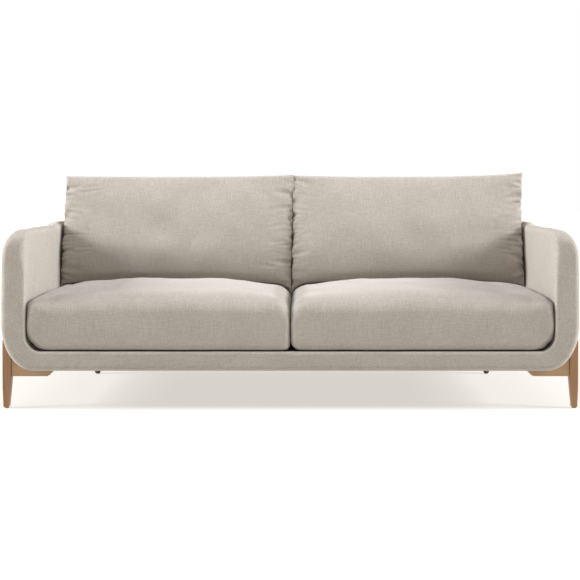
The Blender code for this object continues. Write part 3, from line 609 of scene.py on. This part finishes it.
SEAT_FRONT, SEAT_BACK = FRONT + 0.003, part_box("seat_cover_right")[1].y
SEAT_IN, SEAT_OUT = 0.0012, INNER - 0.0020
SEAT_LOW, SEAT_TOP, SEAT_CROWN = DECK + 0.003, 0.420, 0.048
SEAT_TOP_IN, SEAT_TOP_OUT = (0.075, 0.056), (0.034, 0.026)  # round of the top edges, across and down
SEAT_GRID = (96, 76, 24)
SEAT_RIM = 0.09  # how far in from an edge its rounding is blended
INNER_FOOT = {-1: 0.022, 1: 0.040}  # round of each cushion's lower corner at the sofa's middle
OUTER_FOOT_X, OUTER_FOOT_Z = 0.080, 0.085  # and at the arm
FRONT_FOOT_Y, FRONT_FOOT_Z, REAR_FOOT_Y, REAR_TOP_Y = 0.026, 0.024, 0.040, 0.05
NOSE, NOSE_MORE, NOSE_DEPTH = 0.044, 0.020, 1.3  # front top edge: height, more between its ends, depth share
PLAN_ROUND_X, PLAN_ROUND_Y = 0.014, 0.020  # upright edges
CROWN_POWER, CROWN_FRONT, CROWN_FRONT_SPAN = 2.6, 0.55, 0.30
CROWN_FALL_START, CROWN_FALL_SPAN = 0.52, 0.40  # towards the rear, under the back cushion
SEAT_BULGE = 0.004
SEAT_PADDING = ((0.0022, 0.26), (0.0010, 0.10))


def block_grid(counts):
    """Points on a box's surface, from 0 to 1 each way, and its quads."""
    index, points, faces = {}, [], []

    def vertex(key):
        if key not in index:
            index[key] = len(points)
            points.append([k / n for k, n in zip(key, counts)])
        return index[key]

    for axis in range(3):
        a, b = (axis + 1) % 3, (axis + 2) % 3
        for end in (0, counts[axis]):
            for i in range(counts[a]):
                for j in range(counts[b]):
                    quad = []
                    for di, dj in ((0, 0), (1, 0), (1, 1), (0, 1)):
                        key = [0, 0, 0]
                        key[axis], key[a], key[b] = end, i + di, j + dj
                        quad.append(vertex(tuple(key)))
                    faces.append(quad if end else quad[::-1])
    return np.array(points), faces


def seat_crown(x, y):
    """How far the right seat cushion's top rises over its side edges."""
    u = (x - SEAT_IN) / (SEAT_OUT - SEAT_IN)
    v = (y - SEAT_FRONT) / (SEAT_BACK - SEAT_FRONT)
    crown = np.clip(1 - abs(2 * u - 1) ** CROWN_POWER, 0, 1)
    fall = 1 - smoothstep((v - CROWN_FALL_START) / CROWN_FALL_SPAN)
    return SEAT_CROWN * crown * fall * mix(CROWN_FRONT, 1, smoothstep(v / CROWN_FRONT_SPAN))


def seat_height(x, y):
    """Top of the right seat cushion, with its rounded side edges."""
    drop = 0.0
    for distance, (across, down) in ((x - SEAT_IN, SEAT_TOP_IN), (SEAT_OUT - x, SEAT_TOP_OUT)):
        inset = np.clip(1 - distance / across, 0, 1)
        drop = drop + down * (1 - np.sqrt(1 - inset**2))
    return SEAT_TOP + seat_crown(x, y) - drop


def make_seat(label, side):
    places, faces = block_grid(SEAT_GRID)
    u, v, w = places.T
    size = np.array([SEAT_OUT - SEAT_IN, SEAT_BACK - SEAT_FRONT, SEAT_TOP - SEAT_LOW])
    wide, _, tall = size
    q = places * size
    outer, top = smoothstep((u - 0.3) / 0.4), smoothstep((w - 0.25) / 0.5)
    front = 1 - smoothstep((v - 0.3) / 0.4)
    near_x, near_y, near_z = np.clip(1 - np.minimum(q, size - q) / SEAT_RIM, 0, 1).T
    nose = NOSE + NOSE_MORE * smoothstep(np.minimum(u / 0.16, (1 - u) / 0.10))
    # Each point's rounding radii, blended between those of the edges near it.
    rx = mix(mix(INNER_FOOT[side], OUTER_FOOT_X, outer), mix(SEAT_TOP_IN[0], SEAT_TOP_OUT[0], outer), top)
    rx = mix(rx, PLAN_ROUND_X, near_y * (1 - near_z))
    ry = mix(mix(REAR_FOOT_Y, FRONT_FOOT_Y, front), mix(REAR_TOP_Y, NOSE_DEPTH * nose, front), top)
    ry = mix(ry, PLAN_ROUND_Y, near_x * (1 - near_z))
    rz = mix(mix(INNER_FOOT[side], OUTER_FOOT_Z, outer), mix(SEAT_TOP_IN[1], SEAT_TOP_OUT[1], outer), top)
    rz = mix(rz, mix(FRONT_FOOT_Z, nose, top), near_y * (1 - near_x))
    radius = np.stack([rx, ry, rz], -1)
    centre = np.clip(q, radius, size - radius)
    away = (q - centre) / radius
    length = np.linalg.norm(away, axis=-1, keepdims=True)
    # Outside the box of the centres, the square corner is drawn in to a round one.
    biggest = np.abs(away).max(axis=-1, keepdims=True)
    direction = np.where(length > 1e-9, away / np.maximum(length, 1e-9), 0)
    p = centre + direction * radius * np.clip(biggest, 0, 1)
    x, y = SEAT_IN + p[:, 0], SEAT_FRONT + p[:, 1]
    z = SEAT_LOW + p[:, 2] + seat_crown(x, y) * (p[:, 2] / tall) ** 1.5
    bulge = 1 - abs(2 * p[:, 0] / wide - 1) ** 4
    y -= SEAT_BULGE * bulge * front * np.sin(math.pi * np.clip(p[:, 2] / tall, 0, 1))
    points = np.stack([x, y, z], -1)
    upper = smoothstep((p[:, 2] / tall - 0.35) / 0.4)
    relief = uneven(points, SEAT_PADDING, (51 + side, 53 + side))
    points[:, 2] += relief * upper
    points[:, 1] += 0.5 * relief * front
    points[:, 0] *= side
    # The cloth runs over the top and turns down over each side, so the weave keeps its scale everywhere.
    hang = q[:, 2] - tall
    on_end = (v == 0) | (v == 1)
    on_side = ((u == 0) | (u == 1)) & ~on_end
    across = q[:, 0] + hang * np.where(u < 0.5, 1, -1) * on_side
    along = q[:, 1] + hang * np.where(v < 0.5, 1, -1) * on_end
    cloth = np.stack([across, along], -1)
    name = f"seat_cushion_{label}_upholstered"
    seat = mesh_object(name, points, [f[::-1] for f in faces] if side < 0 else faces, cloth)
    dress(seat, FABRIC)
    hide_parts(f"seat_cover_{label}", f"seat_foam_{label}")
    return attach(seat, f"seat_cushion_{label}")


# Back cushions: two panels sewn together, blown up and leant on the back.

FRONT_SWELL, REAR_SWELL = 0.086, 0.125  # how far each panel stands off the seam
BELLY_FOOT, BELLY_HEIGHT = 0.64, 0.38  # the front panel draws in below this share of its height
SEAM_EASE, SEAM_EASE_REACH, FACE_EASE = 0.085, 0.10, -0.003  # extra cloth, gathered along the side seams
SIDE_FULLNESS = (4, 0.8)  # powers of a panel's swell across its width
FRONT_THINNING, REAR_THINNING = (2, 0.75), (2.4, 0.7)  # and up its height
FOOT_REACH = 0.045  # share of the height in which the foot swells out
FOOT_LIFT, FOOT_LIFT_PLACE, FOOT_LIFT_SPAN = 0.010, 0.06, 0.05
SEAM_Y, SEAM_LEAN = 0.170, 0.085  # the seam's place at its foot, and how far back it leans
FOOT_GAP, SEAM_HEAD, EAR_POWER = 0.007, 0.8895, 6
WOBBLE, WOBBLE_WAVE, WOBBLE_REACH = (0.0016, 0.0040, 0.0003), 0.045, 0.02  # of the side seams
WOBBLE_END = 0.93  # share of the height over which it dies out to the upper seam
PILLOW_SEEDS = {-1: 83, 1: 71}
PILLOW_GRID = (89, 165)
PILLOW_STEPS, QUICK_STEPS = 170, 20
PRESSURE, DAMPING, BEND = 0.00045, 0.90, 0.05
CLOTH_PULL, CLOTH_PUSH = 0.9, 0.8  # share of a thread's stretch, or of its slack, taken up at a time
BIAS_PULL, BIAS_PUSH = 0.25, 0.12
SLACK = 0.004  # how far the cloth may leave the full shape
WALL_GAP, SEAT_GAP = 0.003, 0.002
FIRST_CREASES, FIRST_CREASE_WAVE = 0.0020, 0.05  # the solver starts from these beside the side seams
PUCKER_REACH, PUCKER_STEP, PUCKER_DEPTH = 0.058, 0.042, 0.0125  # gathers beside the side seams
SEAM_CLEAR = 0.008  # the relief starts this far in from a seam
LEVEL_PUCKER = 0.0012  # relief beside the upper and lower seams
UNDULATION, UNDULATION_WAVE = 0.0028, 0.20
PILLOW_SIZE = (INNER, 0.48)  # width and height, for distances from the seams
CLOTH_SIZE = (1.03, 0.52)  # of a panel laid flat, for the weave


# How each pillow lies, seen as the right-hand one: its inner and outer edges at the foot and at the head, how
# hollow the outer edge is between them, how far it is turned forward, and how far its upper corners rise.
LAYS = {
    -1: {"inner": (0.0015, -0.0080), "outer": (INNER - 0.004, INNER - 0.013), "hollow": 0.002, "turn": 0.0,
         "ears": (0.010, 0.003)},
    1: {"inner": (-0.0008, 0.0088), "outer": (INNER - 0.0035, INNER + 0.002), "hollow": 0.010, "turn": 0.050,
        "ears": (0.006, 0.018)},
}


def seam_frame(u, v, lay):
    """Where the sewn edge lies: leaning back, a little hollow between the corners, its foot over the seat."""
    inner, outer = (mix(start, end, v) for start, end in (lay["inner"], lay["outer"]))
    outer = outer - lay["hollow"] * np.sin(math.pi * v)
    x = mix(inner, outer, u)
    y = SEAM_Y + SEAM_LEAN * v - lay["turn"] * u
    foot = seat_height(np.clip(x, SEAT_IN, SEAT_OUT), y) + FOOT_GAP
    head = SEAM_HEAD + lay["ears"][1] * u**EAR_POWER + lay["ears"][0] * (1 - u) ** EAR_POWER
    return np.stack([x, y, mix(foot, head, v)], -1)


def blown_up(u, v, rim):
    """The two panels at full swell: drawn in at the foot, fullest above it, thinning to the upper seam."""
    across = (1 - abs(2 * u - 1) ** SIDE_FULLNESS[0]) ** SIDE_FULLNESS[1]
    full = across * (1 - np.exp(-v / FOOT_REACH))
    belly = mix(BELLY_FOOT, 1, smoothstep(v / BELLY_HEIGHT))
    points = np.stack([rim, rim])
    points[0, ..., 1] -= FRONT_SWELL * full * belly * (1 - v ** FRONT_THINNING[0]) ** FRONT_THINNING[1]
    points[1, ..., 1] += REAR_SWELL * full * (1 - v ** REAR_THINNING[0]) ** REAR_THINNING[1]
    points[..., 2] += FOOT_LIFT * across * np.exp(-(((v - FOOT_LIFT_PLACE) / FOOT_LIFT_SPAN) ** 2))
    return points


def panel_grid(size):
    """The two coordinates of every point of a panel, running to the given size."""
    rows, columns = PILLOW_GRID
    u, v = np.linspace(0, size[0], columns)[None, :], np.linspace(0, size[1], rows)[:, None]
    return np.broadcast_to(u, PILLOW_GRID), np.broadcast_to(v, PILLOW_GRID)


def solve_pillow(seed, steps, lay):
    """Settles two panels sewn edge to edge and pressed out by their filling, as the right-hand pillow."""
    u, v = panel_grid((1, 1))
    rim = seam_frame(u, v, lay)
    edge = np.minimum(u, 1 - u)
    wobble = np.stack([soft_noise(rim, WOBBLE_WAVE, seed + i) for i in range(3)], -1) * WOBBLE
    wobble[..., 0] *= u
    hold = np.exp(-edge / WOBBLE_REACH) * (1 - smoothstep((v - WOBBLE_END) / (1 - WOBBLE_END)))
    rim = rim + wobble * hold[..., None]
    left, right = rim[:, :1, 0] + 0.0002, rim[:, -1:, 0] + 0.0005
    points = blown_up(u, v, rim)
    up_the_wall = np.clip((points[1, ..., 2] - DECK) / (ARM_TOP - DECK), 0, 1)
    wall = mix(BACK_FACE_LOW_Y, BACK_FACE_TOP_Y, up_the_wall) - WALL_GAP
    points[1, ..., 1] = np.minimum(points[1, ..., 1], wall)
    nearest, farthest = points[0, ..., 1] - SLACK, np.minimum(points[1, ..., 1] + SLACK, wall)
    near_seam = 1 - smoothstep(edge / SEAM_EASE_REACH)
    ease = 1 + FACE_EASE + SEAM_EASE * near_seam
    rest_u = np.linalg.norm(np.diff(points, axis=2), axis=-1)[..., None] * (1 + FACE_EASE)
    rest_v = np.linalg.norm(np.diff(points, axis=1), axis=-1)[..., None] * ease[1:, :, None]
    diagonal = np.sqrt(rest_u[:, 1:] ** 2 + rest_v[:, :, 1:] ** 2)
    highest = points[..., 2] + SLACK
    creases = FIRST_CREASES * soft_noise(points, FIRST_CREASE_WAVE, seed + 9)
    points[..., 1] += creases * near_seam * np.minimum(1, 8 * v * (1 - v))
    before = points.copy()

    def pull(a, b, rest, stretch, press):
        way = b - a
        length = np.sqrt((way**2).sum(-1, keepdims=True))
        gap = (length - rest) / np.maximum(length, 1e-9)
        move = way * (gap * np.where(gap > 0, stretch, press) * 0.5)
        a += move
        b -= move

    def hold_seam():
        for layer in (0, 1):
            points[layer, 0], points[layer, -1] = rim[0], rim[-1]
            points[layer, :, 0], points[layer, :, -1] = rim[:, 0], rim[:, -1]

    spacing = np.linalg.norm(rim[1, 0] - rim[0, 0]) * np.linalg.norm(rim[0, 1] - rim[0, 0])
    for step in range(steps):
        area = np.cross(np.gradient(points, axis=1), np.gradient(points, axis=2))
        area[0] *= -1
        if step == 0:
            outward = np.sign(area[1, ..., 1].mean())
        speed = (points - before) * DAMPING
        before = points.copy()
        points += speed + area * (outward * PRESSURE / spacing)
        for _ in range(2):
            for start in (0, 1):
                near, far = points[:, :, start:-1:2], points[:, :, start + 1 :: 2]
                pull(near, far, rest_u[:, :, start::2], CLOTH_PULL, CLOTH_PUSH)
            for start in (0, 1):
                near, far = points[:, start:-1:2], points[:, start + 1 :: 2]
                pull(near, far, rest_v[:, start::2], CLOTH_PULL, CLOTH_PUSH)
            for i in (0, 1):
                for j in (0, 1):
                    rest = diagonal[:, i::2, j::2]
                    near, far = points[:, i:-1:2, j:-1:2], points[:, i + 1 :: 2, j + 1 :: 2]
                    pull(near, far, rest, BIAS_PULL, BIAS_PUSH)
                    near, far = points[:, i + 1 :: 2, j:-1:2], points[:, i:-1:2, j + 1 :: 2]
                    pull(near, far, rest, BIAS_PULL, BIAS_PUSH)
            for i in range(4):
                far = points[:, :, i + 2 :: 4]
                rest = 2 * rest_u[:, :, i::4][:, :, : far.shape[2]]
                pull(points[:, :, i:-2:4][:, :, : far.shape[2]], far, rest, 0.0, BEND)
                far = points[:, i + 2 :: 4]
                rest = 2 * rest_v[:, i::4][:, : far.shape[1]]
                pull(points[:, i:-2:4][:, : far.shape[1]], far, rest, 0.0, BEND)
        x, y, z = points[..., 0], points[..., 1], points[..., 2]
        np.clip(x, left, right, out=x)
        np.maximum(y[0], nearest, out=y[0])
        np.minimum(y[1], farthest, out=y[1])
        np.maximum(z, seat_height(np.clip(x, SEAT_IN, SEAT_OUT), y) + SEAT_GAP, out=z)
        np.minimum(z, highest, out=z)
        hold_seam()
    return points


def pucker(points, seed):
    """Gathers beside the side seams: short creases that run in from the seam and fade on the face."""
    rows, columns = PILLOW_GRID
    u, v = panel_grid((1, 1))
    out = points.copy()
    for layer in (0, 1):
        normal = grid_normals(points[layer])
        normal *= np.sign(normal[rows // 2, columns // 2, 1]) * (-1 if layer == 0 else 1)
        height = points[layer, ..., 2]
        relief = np.zeros(PILLOW_GRID)
        for distance, turned in ((u, 1), (1 - u, 2)):
            inward = distance * PILLOW_SIZE[0]
            slanted = height + 0.35 * inward * soft_noise(height[..., None], 0.30, seed + 30 + turned)
            place = np.stack([slanted, inward * 0.22], -1)
            folds = soft_noise(place, PUCKER_STEP, seed + 40 + turned + 5 * layer)
            folds = 0.35 - np.abs(folds)  # ridges sharp, valleys round
            long = 0.6 + 0.7 * (1 + soft_noise(height[..., None], 0.10, seed + 50 + turned)) / 2
            fade = smoothstep(inward / SEAM_CLEAR) * np.exp(-((inward / (PUCKER_REACH * long)) ** 1.3))
            relief = relief + PUCKER_DEPTH * folds * fade
        for distance in (v, 1 - v):
            inward = distance * PILLOW_SIZE[1]
            folds = soft_noise(np.stack([points[layer, ..., 0], inward * 0.4], -1), 0.05, seed + 60)
            relief = relief + LEVEL_PUCKER * folds * smoothstep(inward / SEAM_CLEAR) * np.exp(-inward / 0.030)
        middle = smoothstep(np.minimum(u, 1 - u) / 0.06)
        relief = relief + UNDULATION * soft_noise(points[layer], UNDULATION_WAVE, seed + 70) * middle
        relief *= np.sin(math.pi * v) ** 0.3 * np.sin(math.pi * u) ** 0.1
        out[layer] += normal * relief[..., None]
    return out


def make_back_cushion(label, side, seed):
    points = pucker(solve_pillow(seed, PILLOW_STEPS, LAYS[side]), seed)
    rows, columns = PILLOW_GRID
    # Both panels share the vertices of their edge, so the rear panel only adds those inside it.
    index = np.stack([np.arange(rows * columns).reshape(PILLOW_GRID)] * 2)
    inside = (rows - 2, columns - 2)
    index[1, 1:-1, 1:-1] = rows * columns + np.arange(inside[0] * inside[1]).reshape(inside)
    vertices = np.concatenate([points[0].reshape(-1, 3), points[1, 1:-1, 1:-1].reshape(-1, 3)])
    faces = grid_faces(index[0]) + grid_faces(index[1], flip=True)
    flat = np.stack(panel_grid(CLOTH_SIZE), -1)
    cloth = np.concatenate([flat.reshape(-1, 2), flat[1:-1, 1:-1].reshape(-1, 2)])
    vertices[:, 0] *= side
    name = f"back_cushion_{label}_upholstered"
    cushion = mesh_object(name, vertices, [f[::-1] for f in faces] if side < 0 else faces, cloth)
    rim = np.concatenate([index[0, 0], index[0, :, -1], index[0, -1], index[0, :, 0]])
    on_rim = np.zeros(len(vertices), bool)
    on_rim[rim] = True
    crease = cushion.data.attributes.new("crease_edge", "FLOAT", "EDGE")
    ends = np.empty(len(cushion.data.edges) * 2, int)
    cushion.data.edges.foreach_get("vertices", ends)
    crease.data.foreach_set("value", on_rim[ends.reshape(-1, 2)].all(axis=1).astype(np.float32))
    smooth = cushion.modifiers.new("fine", "SUBSURF")
    smooth.levels = smooth.render_levels = 1
    dress(cushion, FABRIC)
    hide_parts(f"back_cushion_cover_{label}", f"back_filling_{label}")
    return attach(cushion, f"back_cushion_{label}")


# Studio.

WORLD_COLOUR, WORLD_STRENGTH = (1.0, 0.86, 0.70, 1), 0.15
FLOOR_RADIUS = 30
# The floor's painted glow by distance from the sofa's middle: dimmer near the sofa, as a painted shadow under
# it, and brighter farther out.
FLOOR_GLOW = (("From Min", 1.4), ("From Max", 3.4), ("To Min", 0.66), ("To Max", 1.10))
DAYLIGHT, SIDELIGHT = (0.93, 0.97, 1.02), (0.98, 0.985, 0.99)
# Each light's place, aim, size, power and colour.
LIGHTS = {
    "key": ((0.0, -1.2, 3.9), (0, 0.1, 0.5), (4.6, 1.6), 73, DAYLIGHT),
    "overhead": ((0.0, 0.3, 3.6), (0, 0.1, 0.5), (4.0, 1.6), 14, DAYLIGHT),
    "left": ((-12.0, -1.4, 5.4), (0.9, 0.0, 0.5), (4.4, 4.0), 2450, SIDELIGHT),
    "right": ((12.0, -1.4, 5.4), (-0.9, 0.0, 0.5), (4.4, 4.0), 2450, SIDELIGHT),
}
CAMERA_PLACE = (0.04, FRONT - 4.4, 0.8536)
CAMERA_LENS, CAMERA_SHIFT = 72.2, (-0.0187, -0.1810)


def make_world():
    """A white backdrop for the camera, and a weak warm fill for everything else."""
    world = bpy.data.worlds.new("studio")
    world.use_nodes = True
    tree = world.node_tree
    seen, lit = tree.nodes["Background"], tree.nodes.new("ShaderNodeBackground")
    seen.inputs["Color"].default_value = (1, 1, 1, 1)
    lit.inputs["Color"].default_value = WORLD_COLOUR
    lit.inputs["Strength"].default_value = WORLD_STRENGTH
    mixed, path = tree.nodes.new("ShaderNodeMixShader"), tree.nodes.new("ShaderNodeLightPath")
    link(tree, path.outputs["Is Camera Ray"], mixed.inputs["Fac"])
    link(tree, lit.outputs[0], mixed.inputs[1])
    link(tree, seen.outputs[0], mixed.inputs[2])
    link(tree, mixed.outputs[0], tree.nodes["World Output"].inputs["Surface"])
    bpy.context.scene.world = world


def make_floor():
    """A pale floor of painted light: it glows like a lit sweep, lights the sofa from below, and glows less
    under the sofa as a painted shadow.
    """
    bpy.ops.mesh.primitive_circle_add(vertices=96, radius=FLOOR_RADIUS, fill_type="NGON", location=(0, 0, 0))
    floor = bpy.context.object
    floor.name = "floor"
    made, tree, shader = new_material("floor_painted_glow")
    shader.inputs["Base Color"].default_value = (0.30, 0.30, 0.30, 1)
    shader.inputs["Roughness"].default_value = 0.9
    # Painted glow in a warm white, which also lights the sofa as warm bounce from below.
    shader.inputs["Emission Color"].default_value = (1.0, 0.945, 0.870, 1)
    away = add(tree, "ShaderNodeVectorMath", operation="LENGTH")
    link(tree, add(tree, "ShaderNodeTexCoord").outputs["Object"], away.inputs[0])
    # The glow is weaker close to the sofa's middle: a painted shadow under the sofa.
    glow = add(tree, "ShaderNodeMapRange", interpolation_type="SMOOTHSTEP")
    link(tree, away.outputs["Value"], glow.inputs["Value"])
    for socket, value in FLOOR_GLOW:
        glow.inputs[socket].default_value = value
    link(tree, glow.outputs["Result"], shader.inputs["Emission Strength"])
    floor.data.materials.append(made)


def make_lights():
    for name, (place, aim, size, power, colour) in LIGHTS.items():
        light = bpy.data.lights.new(name, "AREA")
        light.shape, light.energy, light.color = "RECTANGLE", power, colour
        light.size, light.size_y = size
        lamp = bpy.data.objects.new(name, light)
        lamp.location = place
        lamp.rotation_euler = (Vector(aim) - Vector(place)).to_track_quat("-Z", "Y").to_euler()
        bpy.context.scene.collection.objects.link(lamp)


def make_camera():
    lens = bpy.data.cameras.new("camera")
    lens.sensor_width = 36
    lens.lens = CAMERA_LENS
    lens.shift_x, lens.shift_y = CAMERA_SHIFT
    camera = bpy.data.objects.new("camera", lens)
    camera.location = CAMERA_PLACE
    camera.rotation_euler = (math.radians(90), 0, 0)
    bpy.context.scene.collection.objects.link(camera)
    bpy.context.scene.camera = camera


def main():
    dress_frame()
    for label, side in (("left", -1), ("right", 1)):
        make_arm(label, side)
        make_seat(label, side)
        make_back_cushion(label, side, PILLOW_SEEDS[side])
    make_back()
    make_border()
    make_sheet("seat_deck_cloth", "seat_deck", FABRIC, 0.004, 61)
    make_sheet("dust_cover_cloth", "dust_cover", LOOKS["black_lining"], -0.0005, 62)
    bpy.context.scene.view_settings.view_transform = "Standard"
    make_world()
    make_floor()
    make_lights()
    make_camera()


main()
